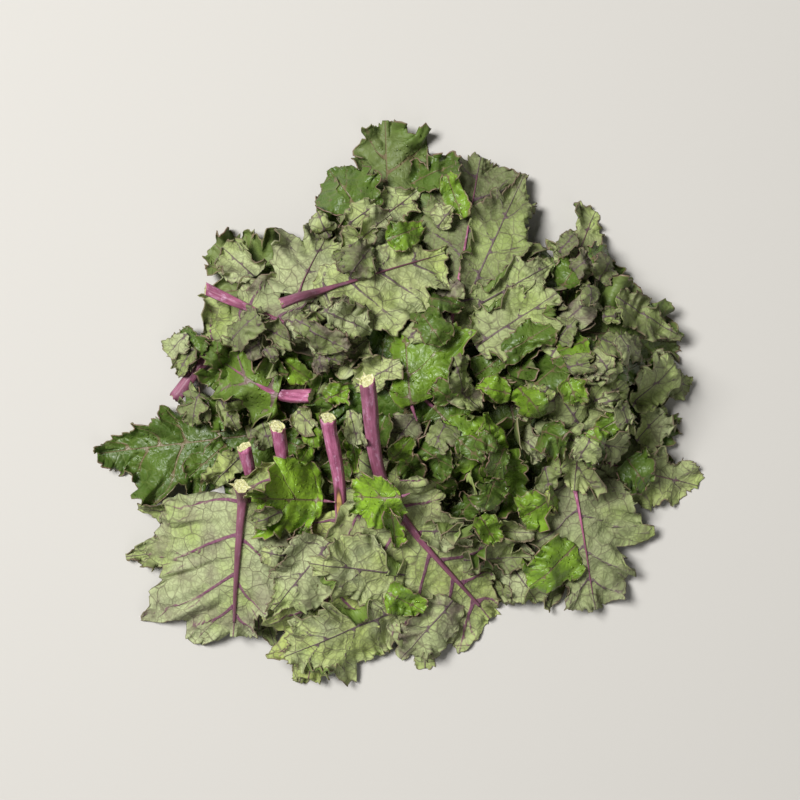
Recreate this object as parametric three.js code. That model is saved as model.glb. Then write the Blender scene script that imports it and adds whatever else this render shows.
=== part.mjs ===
// A bunch of purple kale: cut leaves lying loose in one low heap on a table.
// Units are millimetres and +Z is up. The origin is on the table, under the middle of the heap.
//
// Each leaf is two solids. The blade is a thin waved sheet with a lobed edge, and the stem is the
// leaf stalk, which runs on as the midrib along the back of the blade. The leaves are laid one after
// another from the bottom of the heap up: each sinks until it rests on what lies under it and bends
// where it has to, so that none crosses another.

import * as THREE from "three";

// ---- Driving dimensions ----

const BLADE_THICK = 0.8; // through the sheet
const MOST_UPRIGHT = 2.2; // a steep part of a sheet is at most this many times as thick, measured upright
const LEAF_GAP = 0.7; // kept clear between a leaf and those under it
const RIB_GAP = 0.3; // kept clear between a stem and its own blade
const CUT_RADIUS = 4.3; // stalk at its cut end
const NECK_RADIUS = 3.3; // stalk where the blade starts
const RIB_END_RADIUS = 0.9; // midrib where it fades out, short of the tip
const STEM_SIDES = 6;
const STALK_STEP = 12; // length of each part of the bare stalk, or nearly
const SIDE_COLUMNS = [1, 0.68, 0.34, 0]; // from the blade's edge to the midrib, as shares of its width
const WAVE_ROWS = 4; // rows of the blade to one wave
const PRESSED = 9; // parts of the bottom leaf this near the table are pressed flat on it
const CUP = 0.22; // how far the edges droop below the midrib, as a share of the width
const VEIN_ANGLE_NECK = 1.5; // between midrib and side veins, in radians, at the neck
const VEIN_ANGLE_TIP = 0.62; // and at the tip

// How a leaf is laid
const HEAP_REACH = 215; // from the middle of the heap to the edge of the table that is kept track of
const HEAP_CELL = 1;
const LAY_STEPS = 220;
const CLEAR_STEPS = 80; // at most, to free the last points
const FIRST_FALL = 3; // how far a leaf falls in one step at first
const LAST_FALL = 0.25; // and at last
const BLADE_STIFF = 0.015; // share of its bend that the blade springs back in one step
const RIB_STIFF = 0.06; // and the midrib
const STEM_TALL = 1.25; // a steep stem is at most this many times as tall, measured upright
const STEM_FLAT = Math.sin(Math.PI / 3); // half height of a six-sided stem standing on a flat, in radii

// The leaves, from the bottom of the heap up. face is the side that looks up. cut is the cut end of
// the stalk, neck where the blade starts and tip where the midrib ends, all in plan. half is how wide
// the blade is to the left and to the right of the midrib, looking towards the tip. rise is the height
// of the cut end above the neck, arch the hump along the midrib and wave the height of the ruffles at
// the edge. rows is the number of rows of the blade, two to a lobe and one more for the tip, and girth
// the thickness of the stem against the thickest.
const LEAVES = [
  // face, cut, neck, tip, half, rise, arch, wave, rows, girth
  ["under", [2, 14], [5, -8], [14, -150], [42, 40], 2, 2, 9, 11, 0.8],
  ["upper", [-18, -6], [-38, -13], [-172, -31], [44, 30], 2, 10, 10, 13, 0.8],
  ["under", [-6, 2], [-12, -20], [-57, -158], [42, 42], 2, 10, 9, 11, 0.8],
  ["under", [12, 2], [28, -16], [114, -112], [48, 46], 2, 10, 10, 13, 0.8],
  ["upper", [14, 10], [36, 2], [157, -14], [46, 48], 2, 14, 11, 13, 0.8],
  ["upper", [8, 20], [26, 26], [132, 66], [38, 46], 2, 16, 11, 13, 0.8],
  ["upper", [-4, 8], [-5, 28], [-9, 158], [42, 52], 2, 14, 10, 13, 0.8],
  ["upper", [-14, -2], [-26, 8], [-106, 88], [46, 48], 2, 14, 11, 13, 0.8],
  ["upper", [26, -32], [18, -22], [-44, 44], [42, 42], 2, 16, 12, 13, 0.7],
  ["under", [-131, 2], [-110, 26], [-56, 47], [30, 26], 2, 12, 11, 13, 1],
  ["under", [106, -26], [114, -34], [172, -50], [22, 22], 1, 6, 5, 9, 0.5],
  ["upper", [84, 36], [92, 38], [159, 34], [34, 30], 1, 14, 12, 13, 0.6],
  ["under", [90, 58], [94, 66], [114, 109], [18, 16], 1, 14, 11, 11, 0.5],
  ["under", [94, -34], [98, -44], [113, -119], [37, 32], 1, 6, 6, 13, 0.7],
  ["under", [103, 34], [103, 26], [99, -48], [32, 32], 1, 12, 13, 13, 0.55],
  ["upper", [8, 4], [18, -4], [66, -58], [30, 30], 2, 14, 12, 11, 0.6],
  ["under", [22, 26], [26, 36], [46, 138], [30, 46], 2, 10, 7, 15, 0.8],
  ["upper", [9, -12], [6, -3], [2, 39], [9, 38], 2, 8, 6, 11, 0.6],
  ["under", [-89, -27], [-86, -49], [-83, -129], [32, 26], 10, 5, 6, 9, 1],
  ["under", [-69, -15], [-67, -35], [-66, -120], [30, 28], 8, 6, 10, 11, 1],
  ["upper", [-51, 2], [-70, 3], [-102, 21], [20, 20], 2, 10, 11, 9, 1],
  ["under", [-40, 81], [-35, 85], [8, 120], [22, 20], 1, 10, 10, 9, 0.5],
  ["under", [-111, 63], [-91, 54], [-45, 35], [24, 20], 3, 8, 12, 11, 0.9],
  ["under", [-57, 52], [-57, 58], [-44, 92], [26, 26], 1, 8, 9, 11, 0.5],
  ["under", [-65, 52], [-47, 59], [22, 83], [14, 36], 2, 10, 8, 13, 0.75],
  ["under", [-40, -10], [-34, -63], [-53, -158], [38, 40], 8, 6, 7, 13, 1],
  ["under", [-18, 10], [-9, -48], [50, -126], [36, 64], 5, 8, 6, 15, 1.05],
  ["under", [-87, -47], [-88, -54], [-97, -134], [30, 66], 14, 6, 4, 15, 1],
  ["upper", [-37, -57], [-44, -57], [-80, -54], [24, 22], 1, 6, 7, 11, 0.5],
  ["upper", [5, -51], [0, -53], [-25, -54], [19, 17], 1, 6, 7, 9, 0.5],
].map(([face, cut, neck, tip, half, rise, arch, wave, rows, girth]) => ({
  face, cut, neck, tip, half, rise, arch, wave, rows, girth,
}));

// ---- Small tools ----

const mix = (a, b, share) => a + (b - a) * share;

// A repeatable number from 0 to 1 for leaf i and two more whole numbers.
function chance(i, p, q) {
  const wave = Math.sin(i * 127.1 + p * 311.7 + q * 74.7) * 43758.5453;
  return wave - Math.floor(wave);
}

// ---- The heap so far, as heights over a grid of square cells ----

class Heap {
  constructor(reach, cell) {
    this.reach = reach;
    this.cell = cell;
    this.side = Math.ceil((2 * reach) / cell);
    this.top = new Float64Array(this.side * this.side);
  }

  // The cells that triangle abc covers in plan or comes near, each with its weights on the corners.
  cells(a, b, c) {
    const { reach, cell, side } = this;
    const area = (b.x - a.x) * (c.y - a.y) - (c.x - a.x) * (b.y - a.y);
    if (Math.abs(area) < 1e-6) return [];
    const near = (p, q) => (Math.hypot(q.x - p.x, q.y - p.y) * cell * 0.75) / Math.abs(area);
    const slack = [near(b, c), near(c, a), near(a, b)];
    const first = (values) => Math.max(0, Math.floor((Math.min(...values) - cell + reach) / cell));
    const last = (values) => Math.min(side - 1, Math.floor((Math.max(...values) + cell + reach) / cell));
    const xs = [a.x, b.x, c.x];
    const ys = [a.y, b.y, c.y];
    const found = [];
    for (let row = first(ys); row <= last(ys); row++)
      for (let column = first(xs); column <= last(xs); column++) {
        const x = (column + 0.5) * cell - reach;
        const y = (row + 0.5) * cell - reach;
        const wb = ((x - a.x) * (c.y - a.y) - (c.x - a.x) * (y - a.y)) / area;
        const wc = ((b.x - a.x) * (y - a.y) - (x - a.x) * (b.y - a.y)) / area;
        const raw = [1 - wb - wc, wb, wc];
        if (raw.some((w, i) => w < -slack[i])) continue;
        const held = raw.map((w) => Math.min(1, Math.max(0, w)));
        const sum = held[0] + held[1] + held[2];
        found.push({ at: row * side + column, weights: held.map((w) => w / sum) });
      }
    return found;
  }

  // How much a triangle's height can change between the middle of a cell and its corner.
  lean(a, b, c, za, zb, zc) {
    const area = (b.x - a.x) * (c.y - a.y) - (c.x - a.x) * (b.y - a.y);
    const gx = ((zb - za) * (c.y - a.y) - (zc - za) * (b.y - a.y)) / area;
    const gy = ((zc - za) * (b.x - a.x) - (zb - za) * (c.x - a.x)) / area;
    const span = Math.max(za, zb, zc) - Math.min(za, zb, zc);
    return Math.min(span, 0.5 * this.cell * (Math.abs(gx) + Math.abs(gy)));
  }

  // Adds a finished solid to the heap.
  add(geometry) {
    const at = geometry.getAttribute("position");
    const corner = new THREE.Vector3();
    const index = geometry.index.array;
    for (let i = 0; i < index.length; i += 3) {
      const [a, b, c] = [0, 1, 2].map((n) => corner.fromBufferAttribute(at, index[i + n]).clone());
      const lean = this.lean(a, b, c, a.z, b.z, c.z);
      for (const { at: cell, weights } of this.cells(a, b, c)) {
        const z = weights[0] * a.z + weights[1] * b.z + weights[2] * c.z + (lean || 0);
        this.top[cell] = Math.max(this.top[cell], z);
      }
    }
  }
}

// ---- The outline and the natural shape of one leaf ----

// The stalk and midrib in plan: where they run, and their radius, from the cut end to the tip.
function spine(leaf) {
  const points = [leaf.cut, leaf.neck, leaf.tip].map(([x, y]) => new THREE.Vector3(x, y, 0));
  const line = new THREE.CatmullRomCurve3(points, false, "centripetal");
  const neckShare = line.getLengths(200)[100] / line.getLength();
  const steps = Math.max(1, Math.round((neckShare * line.getLength()) / STALK_STEP));
  const stations = [];
  for (let k = -steps; k <= leaf.rows; k++) {
    const blade = k >= 0;
    const share = blade ? k / leaf.rows : -k / steps;
    const u = blade ? mix(neckShare, 1, share) : mix(neckShare, 0, share);
    const at = line.getPointAt(Math.min(1, Math.max(0, u)));
    const along = line.getTangentAt(Math.min(1, Math.max(0, u)));
    const left = new THREE.Vector3(-along.y, along.x, 0);
    const radius = blade
      ? mix(NECK_RADIUS * leaf.girth, RIB_END_RADIUS, Math.pow(share, 0.7))
      : mix(NECK_RADIUS, CUT_RADIUS, share) * leaf.girth;
    stations.push({ k, share, blade, at, along, left, radius });
  }
  return stations;
}

// How wide the blade is at a share of the way from neck to tip, as a share of its full width.
function spread(share) {
  const shoulder = Math.min(1, 0.6 + 1.6 * share);
  const taper = Math.pow(1 - Math.pow(Math.max(0, share - 0.4) / 0.62, 2), 0.8);
  return shoulder * taper;
}

// The distance from the midrib to the edge of the blade along a side vein. Odd rows are lobes and
// even rows are the cuts between them, which are deeper near the neck.
function reachOf(leaf, i, k, side) {
  const share = k / leaf.rows;
  const cut = k % 2 === 0 ? mix(0.62, 0.8, share) : 1;
  return leaf.half[side > 0 ? 0 : 1] * spread(share) * cut * mix(0.82, 1.16, chance(i, k, side));
}

// The height that a point of the blade has above the line of the midrib, when nothing touches it.
function ruffle(leaf, i, k, side, t) {
  const half = leaf.half[side > 0 ? 0 : 1];
  const phase = chance(i, 70, side) * 2 * Math.PI;
  const wave = Math.cos((2 * Math.PI * k) / WAVE_ROWS + phase);
  const stray = chance(i, k, 40 + side) - 0.5;
  const size = leaf.wave * Math.min(1, half / 30);
  return size * Math.pow(t, 1.4) * (wave + 0.9 * stray) - CUP * half * Math.pow(t, 1.5);
}

function hump(leaf, station) {
  if (!station.blade) return leaf.rise * Math.pow(station.share, 1.3);
  const rising = Math.sin(Math.PI * station.share);
  return leaf.arch * rising * rising;
}

// ---- Laying a leaf on the heap ----

// The points of the leaf's sheet: the blade's rows across, and a narrow strip along the stalk.
function sheet(leaf, i) {
  const points = [];
  const rows = [];
  const below = leaf.face === "upper"; // the stem lies under the blade
  for (const station of spine(leaf)) {
    const strip = station.radius + 0.7;
    const depth = below ? RIB_GAP + 2 * STEM_FLAT * station.radius * STEM_TALL : 0;
    const z = hump(leaf, station);
    const angle = mix(VEIN_ANGLE_NECK, VEIN_ANGLE_TIP, station.blade ? station.share : 0);
    const point = (side, t) => {
      const vein = station.along
        .clone()
        .multiplyScalar(Math.cos(angle))
        .addScaledVector(station.left, side * Math.sin(angle));
      const reach = t > 0 ? reachOf(leaf, i, station.k, side) * t : 0;
      const { x, y } = station.at
        .clone()
        .addScaledVector(station.left, side * strip)
        .addScaledVector(vein, reach);
      const rise = t > 0 ? ruffle(leaf, i, station.k, side, t) : 0;
      const rib = t === 0;
      points.push({ x, y, natural: z + rise, z: 0, rib, depth: rib ? depth : 0 });
      return points.length - 1;
    };
    const columns = station.blade ? SIDE_COLUMNS : [0];
    const row = [...columns.map((t) => point(1, t)), ...[...columns].reverse().map((t) => point(-1, t))];
    rows.push({ station, row });
  }
  return { points, rows };
}

// The two triangles of a cell of the sheet, split the same way on both faces of the blade and
// mirrored about the midrib.
function split(near, far, column) {
  const [a, b, c, d] = [near[column], near[column + 1], far[column], far[column + 1]];
  return column < SIDE_COLUMNS.length ? [[a, b, c], [b, d, c]] : [[a, b, d], [a, d, c]];
}

function lay(leaf, i, heap) {
  const { points, rows } = sheet(leaf, i);

  // What must stay clear of the heap: the under side of the blade, and of the stem along the strip.
  const undersides = [];
  const watch = (corners, depths) => {
    const [a, b, c] = corners.map((n) => points[n]);
    const covered = heap.cells(a, b, c).filter(({ at }) => heap.top[at] > 0);
    if (covered.length) undersides.push({ corners, depths, covered });
  };
  for (let r = 0; r + 1 < rows.length; r++) {
    const [near, far] = [rows[r], rows[r + 1]];
    const ends = (row) => row.slice(row.length / 2 - 1, row.length / 2 + 1);
    const [a, b, c, d] = [...ends(near.row), ...ends(far.row)];
    for (const corners of [[a, b, d], [a, d, c]]) watch(corners, corners.map((n) => points[n].depth));
    if (near.station.blade)
      for (let column = 0; column + 1 < near.row.length; column++)
        for (const corners of split(near.row, far.row, column)) watch(corners, [0, 0, 0]);
  }

  // Lifts points until no watched cell is nearer to the heap than the gap. It returns the worst one.
  const clear = () => {
    let worst = 0;
    for (const { corners, depths, covered } of undersides) {
      const [a, b, c] = corners.map((n) => points[n]);
      const lean = heap.lean(a, b, c, a.z - depths[0], b.z - depths[1], c.z - depths[2]);
      for (const { at, weights } of covered) {
        const bottom = weights.reduce((sum, w, n) => sum + w * (points[corners[n]].z - depths[n]), 0);
        const short = heap.top[at] + LEAF_GAP - (bottom - lean);
        if (short <= 0) continue;
        worst = Math.max(worst, short);
        const grip = weights.reduce((sum, w) => sum + w * w, 0);
        weights.forEach((w, n) => (points[corners[n]].z += (short * w) / grip));
      }
    }
    for (const p of points) p.z = Math.max(p.z, p.depth);
    for (const { row } of rows) {
      const [left, right] = [points[row[row.length / 2 - 1]], points[row[row.length / 2]]];
      left.z = right.z = Math.max(left.z, right.z);
    }
    return worst;
  };

  // The leaf's own shape, tilted to fit where its points are now.
  const settle = (stiffness) => {
    const sums = new Float64Array(9);
    for (const p of points) {
      const bend = p.z - p.natural;
      const terms = [1, p.x, p.y, p.x * p.x, p.x * p.y, p.y * p.y, bend, bend * p.x, bend * p.y];
      terms.forEach((term, n) => (sums[n] += term));
    }
    const [n, x, y, xx, xy, yy, b, bx, by] = sums;
    const plane = new THREE.Vector3(b, bx, by).applyMatrix3(
      new THREE.Matrix3().set(n, x, y, x, xx, xy, y, xy, yy).invert(),
    );
    for (const p of points) {
      p.plane = p.natural + plane.x + plane.y * p.x + plane.z * p.y;
      p.bend = p.z - p.plane;
    }
    const smooth = new Float64Array(points.length);
    rows.forEach(({ row }, r) =>
      row.forEach((at, column) => {
        const middle = row.length / 2;
        const beside = [row[column - 1], row[column + 1]];
        for (const other of [rows[r - 1], rows[r + 1]])
          if (other) beside.push(other.row[column - middle + other.row.length / 2]);
        const known = beside.filter((value) => value !== undefined);
        smooth[at] = known.reduce((sum, value) => sum + points[value].bend, 0) / known.length;
      }),
    );
    points.forEach((p, at) => {
      const held = p.rib ? RIB_STIFF : stiffness;
      p.z = p.plane + mix(p.bend, smooth[at], 0.5) * (1 - held);
    });
  };

  const start = heap.top.reduce((most, top) => Math.max(most, top)) + 20;
  for (const p of points) p.z = p.natural + start;
  for (let step = 0; step < LAY_STEPS; step++) {
    const fall = mix(FIRST_FALL, LAST_FALL, Math.min(1, step / (0.5 * LAY_STEPS)));
    for (const p of points) p.z -= fall;
    clear();
    settle(BLADE_STIFF);
  }
  for (let step = 0; step < CLEAR_STEPS && clear() > 1e-3; step++);
  const left = clear();
  if (left > 1e-3) for (const p of points) p.z += left;
  if (i === 0) for (const p of points) if (p.z < PRESSED) p.z = 0;
  return { points, rows };
}

// ---- Solids ----

function solid(corners, triangles) {
  const made = new THREE.BufferGeometry();
  const places = corners.flatMap((p) => [p.x, p.y, p.z]);
  made.setAttribute("position", new THREE.Float32BufferAttribute(places, 3));
  made.setIndex(triangles.flat());
  return made;
}

// The blade: both faces of the sheet and the edge all round.
function bladeSolid({ points, rows }) {
  const blade = rows.filter(({ station }) => station.blade);
  const grid = blade.map(({ row }) => row.map((at) => points[at]));
  const across = grid[0].length;
  const size = grid.length * across;
  const under = grid.flat().map((p) => new THREE.Vector3(p.x, p.y, p.z));
  const at = (r, c) => r * across + c;
  const upright = (r, c) => {
    const slope = (p, q) => (q.z - p.z) / Math.max(1, Math.hypot(q.x - p.x, q.y - p.y));
    const pick = (row, column) =>
      grid[Math.min(grid.length - 1, Math.max(0, row))][Math.min(across - 1, Math.max(0, column))];
    const along = slope(pick(r - 1, c), pick(r + 1, c));
    const sideways = slope(pick(r, c - 1), pick(r, c + 1));
    return BLADE_THICK * Math.min(MOST_UPRIGHT, Math.hypot(1, along, sideways));
  };
  const over = under.map((p, n) => {
    const [r, c] = [Math.floor(n / across), n % across];
    return p.clone().setZ(p.z + (grid[r][c].rib ? stripThick(points, rows, blade[r]) : upright(r, c)));
  });
  const triangles = [];
  for (let r = 0; r + 1 < grid.length; r++) {
    const near = Array.from({ length: across }, (_, c) => at(r, c));
    const far = near.map((n) => n + across);
    for (let c = 0; c + 1 < across; c++)
      for (const [p, q, s] of split(near, far, c))
        triangles.push([p, q, s], [p + size, s + size, q + size]);
  }
  const rim = [];
  for (let c = 0; c + 1 < across; c++) rim.push([at(0, c), at(0, c + 1)]);
  for (let r = 0; r + 1 < grid.length; r++) rim.push([at(r, across - 1), at(r + 1, across - 1)]);
  for (let c = across - 1; c > 0; c--) rim.push([at(grid.length - 1, c), at(grid.length - 1, c - 1)]);
  for (let r = grid.length - 1; r > 0; r--) rim.push([at(r, 0), at(r - 1, 0)]);
  for (const [p, q] of rim) triangles.push([p, q + size, q], [p, p + size, q + size]);
  return solid([...under, ...over], triangles.map(([p, q, s]) => [p, s, q]));
}

// The blade is as thick along the strip as the stem's own slope there asks.
function stripThick(points, rows, entry) {
  const slope = stemSlope(points, rows, rows.indexOf(entry));
  return BLADE_THICK * Math.min(MOST_UPRIGHT, Math.hypot(1, slope));
}

function stemSlope(points, rows, r) {
  const [back, ahead] = [rows[Math.max(0, r - 1)], rows[Math.min(rows.length - 1, r + 1)]];
  const run = back.station.at.distanceTo(ahead.station.at);
  return (stripHeight(points, ahead) - stripHeight(points, back)) / run;
}

const stripHeight = (points, { row }) => points[row[row.length / 2]].z;

// The stem: six-sided rings from the cut end along the stalk and the midrib, short of the tip.
function stemSolid(leaf, { points, rows }) {
  const corners = [];
  const kept = rows.slice(0, rows.length - 1);
  kept.forEach((entry, r) => {
    const { at, along, left, radius, blade } = entry.station;
    const slope = stemSlope(points, rows, r);
    const tall = radius * Math.min(STEM_TALL, Math.hypot(1, slope));
    const lift = leaf.face === "under" ? stripThick(points, rows, entry) + RIB_GAP : -RIB_GAP;
    const middle = stripHeight(points, entry) + lift + Math.sign(lift) * STEM_FLAT * tall;
    const lean = Math.atan(slope);
    for (let n = 0; n < STEM_SIDES; n++) {
      const turn = (2 * Math.PI * n) / STEM_SIDES;
      const out = new THREE.Vector3(at.x, at.y, middle).addScaledVector(left, radius * Math.cos(turn));
      const up = blade ? tall * Math.sin(turn) : radius * Math.sin(turn) * Math.cos(lean);
      const back = blade ? 0 : -radius * Math.sin(turn) * Math.sin(lean);
      corners.push(out.addScaledVector(along, back).setZ(middle + up));
    }
  });
  const triangles = [];
  const ring = (r, n) => r * STEM_SIDES + (n % STEM_SIDES);
  for (let r = 0; r + 1 < kept.length; r++)
    for (let n = 0; n < STEM_SIDES; n++)
      triangles.push(
        [ring(r, n), ring(r + 1, n + 1), ring(r + 1, n)],
        [ring(r, n), ring(r, n + 1), ring(r + 1, n + 1)],
      );
  for (let n = 1; n + 1 < STEM_SIDES; n++) {
    triangles.push([ring(0, 0), ring(0, n + 1), ring(0, n)]);
    triangles.push([ring(kept.length - 1, 0), ring(kept.length - 1, n), ring(kept.length - 1, n + 1)]);
  }
  return solid(corners, triangles);
}

// ---- The bunch ----

const finish = (name, color, roughness) =>
  new THREE.MeshStandardMaterial({ name, color, roughness, metalness: 0 });

const FINISH = {
  under: finish("blade_back", 0x8e9f6c, 0.75),
  upper: finish("blade_face", 0x4f7a2c, 0.45),
  stem: finish("stem", 0x7d3a62, 0.5),
};

function kaleBunch() {
  const bunch = new THREE.Group();
  bunch.name = "purple_kale_bunch";
  const heap = new Heap(HEAP_REACH, HEAP_CELL);
  LEAVES.forEach((leaf, i) => {
    const laid = lay(leaf, i, heap);
    const number = String(i + 1).padStart(2, "0");
    const blade = new THREE.Mesh(bladeSolid(laid), FINISH[leaf.face]);
    blade.name = `leaf_${number}_blade`;
    const stem = new THREE.Mesh(stemSolid(leaf, laid), FINISH.stem);
    stem.name = `leaf_${number}_stem`;
    for (const mesh of [blade, stem]) {
      heap.add(mesh.geometry);
      bunch.add(mesh);
    }
  });
  const middle = new THREE.Box3().setFromObject(bunch).getCenter(new THREE.Vector3());
  for (const mesh of bunch.children) mesh.geometry.translate(-middle.x, -middle.y, 0);
  return bunch;
}

export default kaleBunch();
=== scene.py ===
# A heap of loose purple kale leaves, each drawn finely around the plain solids of its blade and stem.
# Places and sizes are millimetres until a mesh is finished. +Z is up and the table is at zero.

import bmesh
import bpy
import numpy as np
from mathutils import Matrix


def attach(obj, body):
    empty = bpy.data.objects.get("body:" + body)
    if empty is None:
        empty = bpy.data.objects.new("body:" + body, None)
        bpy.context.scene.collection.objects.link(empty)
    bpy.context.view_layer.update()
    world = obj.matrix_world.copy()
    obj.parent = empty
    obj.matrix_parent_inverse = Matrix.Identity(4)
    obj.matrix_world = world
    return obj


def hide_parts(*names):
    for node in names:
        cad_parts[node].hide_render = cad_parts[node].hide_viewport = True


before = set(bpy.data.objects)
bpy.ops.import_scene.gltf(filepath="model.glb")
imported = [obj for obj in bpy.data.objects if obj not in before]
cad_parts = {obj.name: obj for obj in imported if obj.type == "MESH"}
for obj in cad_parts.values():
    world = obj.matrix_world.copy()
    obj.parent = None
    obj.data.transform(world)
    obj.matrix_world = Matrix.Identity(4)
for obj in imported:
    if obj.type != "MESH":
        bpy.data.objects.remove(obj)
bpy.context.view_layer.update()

# ---- The leaves, from the bottom of the heap up ----
# Kale is cut leaf by leaf. Each leaf has a stalk that runs on as the midrib, and a blade of side
# lobes. A leaf is known by where its stalk was cut, where the blade starts and where it ends.

TAU = 2 * np.pi

# side that looks up, cut, neck and tip in plan, widths left and right of the midrib, rows of the
# solid blade, girth of the stem, then the looks: how waxy and grey, how flushed with purple, how
# fresh and yellow (below zero, how deep a green instead, partly the leaf's darker tone and partly
# painted shade), how much the edge ruffles and how much it rolls over.
LEAVES = [
    ("under", (2, 14), (5, -8), (14, -150), (42, 40), 11, 0.8, 0.3, 0.2, 0.3, 0.5, 0.2),
    # This leaf's freshness below zero is painted shade, darker where the stalks above shade it.
    ("upper", (-18, -6), (-38, -13), (-172, -31), (44, 30), 13, 0.8, 0.1, 0.1, -0.7, 0.9, 0.3),
    ("under", (-6, 2), (-12, -20), (-57, -158), (42, 42), 11, 0.8, 0.2, 0.2, 0.4, 0.6, 0.3),
    ("under", (12, 2), (28, -16), (114, -112), (48, 46), 13, 0.8, 0.6, 0.3, 0.2, 0.8, 0.3),
    # The freshness below zero of this leaf and the next is painted shade, darker where they lie low
    # in the middle.
    ("upper", (14, 10), (36, 2), (157, -14), (46, 48), 13, 0.8, 0.3, 0.1, -0.4, 1, 0.5),
    ("upper", (8, 20), (26, 26), (132, 66), (38, 46), 13, 0.8, 0.4, 0.2, -0.2, 1, 0.5),
    ("upper", (-4, 8), (-5, 28), (-9, 158), (42, 52), 13, 0.8, 0.9, 0.2, -0.3, 0.9, 0.4),
    ("upper", (-14, -2), (-26, 8), (-106, 88), (46, 48), 13, 0.8, 1, 0.3, 0.1, 1.2, 0.4),
    # This leaf's freshness below zero is painted shade, dark like the shaded middle of the heap.
    ("upper", (26, -32), (18, -22), (-44, 44), (42, 42), 13, 0.7, 0, 0, -0.9, 1, 0.5),
    ("under", (-131, 2), (-110, 26), (-56, 47), (30, 26), 13, 1, 0.85, 0.2, 0.1, 1, 0.6),
    ("under", (106, -26), (114, -34), (172, -50), (22, 22), 9, 0.5, 0.5, 0.3, 0.2, 0.7, 0.3),
    ("upper", (84, 36), (92, 38), (159, 34), (34, 30), 13, 0.6, 0.7, 0.3, -0.1, 1.6, 0.7),
    ("under", (90, 58), (94, 66), (114, 109), (18, 16), 11, 0.5, 0.5, 0.2, 0.2, 1, 0.8),
    ("under", (94, -34), (98, -44), (113, -119), (37, 32), 13, 0.7, 0.6, 0.3, -0.3, 0.5, 0.2),
    ("under", (103, 34), (103, 26), (99, -48), (32, 32), 13, 0.55, 0.5, 0.2, 0.3, 1, 0.6),
    ("upper", (8, 4), (18, -4), (66, -58), (30, 30), 11, 0.6, 0, 0, 0.2, 1.3, 0.8),
    # This leaf's freshness below zero is painted shade, darker where its blade lies in shadow.
    ("under", (22, 26), (26, 36), (46, 138), (30, 46), 15, 0.8, 0.3, 0.1, -0.8, 0.5, 0.2),
    ("upper", (9, -12), (6, -3), (2, 39), (9, 38), 11, 0.6, 0, 0, 0.5, 0.6, 0.2),
    ("under", (-89, -27), (-86, -49), (-83, -129), (32, 26), 9, 1, 0.4, 0.4, 0.2, 0.8, 0.4),
    ("under", (-69, -15), (-67, -35), (-66, -120), (30, 28), 11, 1, 0.3, 0.2, 0.5, 0.9, 0.4),
    # This leaf's waxy bloom is partly painted light: it is paler to make up for the shade of its
    # slope.
    ("upper", (-51, 2), (-70, 3), (-102, 21), (20, 20), 9, 1, 0.3, 0, 0.2, 1, 0.4),
    ("under", (-40, 81), (-35, 85), (8, 120), (22, 20), 9, 0.5, 0.9, 0.3, 0.1, 1, 0.4),
    ("under", (-111, 63), (-91, 54), (-45, 35), (24, 20), 11, 0.9, 0.7, 0.9, -0.2, 1, 0.5),
    ("under", (-57, 52), (-57, 58), (-44, 92), (26, 26), 11, 0.5, 0.9, 0.4, 0.1, 0.8, 0.3),
    ("under", (-65, 52), (-47, 59), (22, 83), (14, 36), 13, 0.75, 0.9, 0.2, 0.4, 0.5, 0.3),
    # This leaf's waxy bloom is partly painted light: it is paler to make up for the lower middle of
    # the heap getting less light.
    ("under", (-40, -10), (-34, -63), (-53, -158), (38, 40), 13, 1, 0.6, 0.2, 0.8, 0.6, 0.2),
    ("under", (-18, 10), (-9, -48), (50, -126), (36, 64), 15, 1.05, 0.8, 0.4, 0.4, 0.5, 0.2),
    ("under", (-87, -47), (-88, -54), (-97, -134), (30, 66), 15, 1, 0.95, 0.6, 0, 0.35, 0.15),
    # These two small leaves have freshness above one, which spreads the fresh yellow-green further:
    # partly their own colour and partly painted light, as they lie low in shade.
    ("upper", (-37, -57), (-44, -57), (-80, -54), (24, 22), 11, 0.5, 0, 0, 1.9, 0.6, 0.2),
    ("upper", (5, -51), (0, -53), (-25, -54), (19, 17), 9, 0.5, 0, 0, 1.5, 0.6, 0.3),
]
SIDE_COLUMNS = (1, 0.68, 0.34, 0)  # of the solid blade, from its edge to the midrib
STALK_STEP = 12  # about how far apart the solid stalk's rings are
LINE_POINTS = 201  # that a midrib is measured by, with the neck in their middle
CUT_RADIUS, NECK_RADIUS, RIB_END_RADIUS = 4.3, 3.3, 0.9
STRIP_SPARE = 0.7  # the blade is flat across the midrib and this much further on each side
VEIN_ANGLE_NECK, VEIN_ANGLE_TIP = 1.5, 0.62  # between the midrib and the side veins


def mix(a, b, share):
    return a + (b - a) * share


def step(value, low, high):
    share = np.clip((value - low) / (high - low), 0, 1)
    return share * share * (3 - 2 * share)


def chance(i, p, q):
    wave = np.sin(i * 127.1 + p * 311.7 + q * 74.7) * 43758.5453
    return wave - np.floor(wave)


def crumple(x, y, length, seed):
    """Smooth noise of about -1 to 1 whose bumps are some length apart."""
    total = 0
    for n in range(7):
        turn, phase = TAU * chance(seed, n, 1), TAU * chance(seed, n, 3)
        pace = mix(0.65, 1.35, chance(seed, n, 2)) * TAU / length
        total = total + np.sin((x * np.cos(turn) + y * np.sin(turn)) * pace + phase)
    return total / 3


def through(values, at):
    """A smooth curve through values that stand one apart, read at the places in at."""
    ends = np.concatenate([2 * values[:1] - values[1:2], values, 2 * values[-1:] - values[-2:-1]])
    span = np.clip(np.floor(at).astype(int), 0, len(values) - 2)
    w = (np.clip(at, 0, len(values) - 1) - span).reshape(-1, *[1] * (values.ndim - 1))
    a, b, c, d = (ends[span + n] for n in range(4))
    return b + 0.5 * w * (c - a + w * (2 * a - 5 * b + 4 * c - d + w * (3 * (b - c) + d - a)))


def walk(line):
    """How far along a line in plan each of its points is."""
    return np.concatenate([[0], np.cumsum(np.hypot(*np.diff(line, axis=0).T))])


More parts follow.
